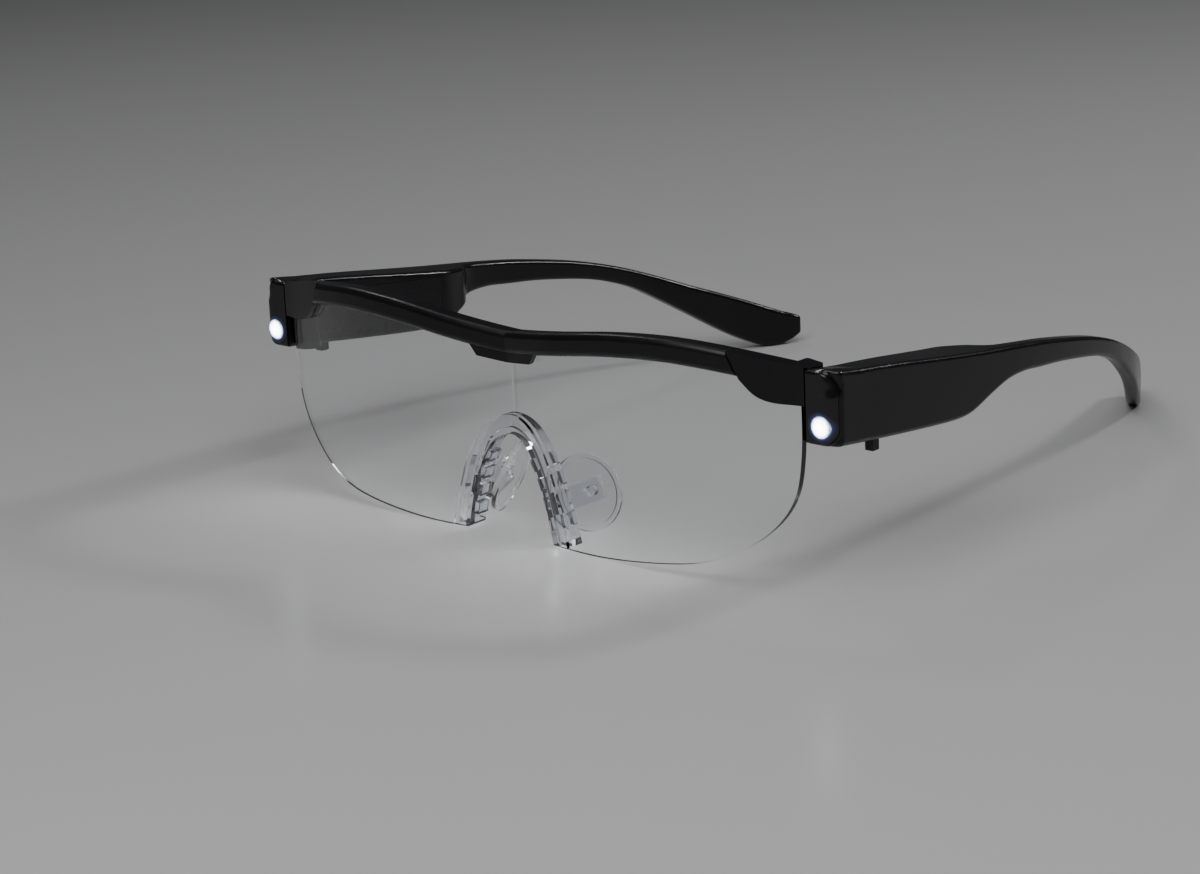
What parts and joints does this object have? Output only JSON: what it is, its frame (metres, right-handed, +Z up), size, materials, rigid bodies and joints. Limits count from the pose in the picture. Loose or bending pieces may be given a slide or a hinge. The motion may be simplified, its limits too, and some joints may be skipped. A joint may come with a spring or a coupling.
{
  "type": "lighted magnifier glasses",
  "caption": "Rimless magnifier glasses: a clear gull-wing lens under a black brow bar, folding temples with LED lamp boxes, and a clear nose bridge with pads.",
  "frame": {"origin": "on the table under the middle of the whole open object", "axes": "+X towards the wearer's left, +Y back along the temples, +Z up"},
  "size_m": [0.1624, 0.1714, 0.0496],
  "materials": {
    "gloss_black": "glossy moulded",
    "satin_black": "satin",
    "cover_black": "fine satin",
    "bezel_black": "fine satin",
    "switch_black": "satin",
    "clear_lens": "polished clear plastic",
    "clear_nose": "clear moulded plastic",
    "led_white": "clear epoxy, lit white",
    "screw_steel": "plated",
    "cell_metal": "bright",
    "tinned_metal": "tinned",
    "board_green": "solder mask"
  },
  "bodies": {
    "frame": {"frame_bar": "gloss_black", "brow_trim": "satin_black", "lens": "clear_lens", "nose_bridge": "clear_nose", "left_end_cap": "gloss_black", "left_nose_pad": "clear_nose", "left_hinge_screw": "screw_steel", "right_end_cap": "gloss_black", "right_nose_pad": "clear_nose", "right_hinge_screw": "screw_steel"},
    "left_temple": {"left_temple_shell": "gloss_black", "left_battery_cover": "cover_black", "left_cover_screw": "screw_steel", "left_led_bezel": "bezel_black", "left_led": "led_white", "left_led_leads": "tinned_metal", "left_circuit_board": "board_green", "left_switch_body": "switch_black", "left_front_cell": "cell_metal", "left_rear_cell": "cell_metal", "left_cell_contacts": "tinned_metal", "left_contact_link": "tinned_metal"},
    "right_temple": {"right_temple_shell": "gloss_black", "right_battery_cover": "cover_black", "right_cover_screw": "screw_steel", "right_led_bezel": "bezel_black", "right_led": "led_white", "right_led_leads": "tinned_metal", "right_circuit_board": "board_green", "right_switch_body": "switch_black", "right_front_cell": "cell_metal", "right_rear_cell": "cell_metal", "right_cell_contacts": "tinned_metal", "right_contact_link": "tinned_metal"},
    "left_switch": {"left_switch_knob": "switch_black"},
    "right_switch": {"right_switch_knob": "switch_black"}
  },
  "joints": [
    {"name": "left_temple_fold", "type": "hinge", "parent": "frame", "child": "left_temple", "pos_m": [0.073, -0.07022, 0.0378], "axis": [0, 0, 1], "range_deg": [0, 84]},
    {"name": "right_temple_fold", "type": "hinge", "parent": "frame", "child": "right_temple", "pos_m": [-0.073, -0.07022, 0.0378], "axis": [0, 0, -1], "range_deg": [0, 66]},
    {"name": "left_switch_slide", "type": "slide", "parent": "left_temple", "child": "left_switch", "axis": [0, 1, 0], "range_m": [0, 0.002]},
    {"name": "right_switch_slide", "type": "slide", "parent": "right_temple", "child": "right_switch", "axis": [0, 1, 0], "range_m": [0, 0.002]}
  ]
}
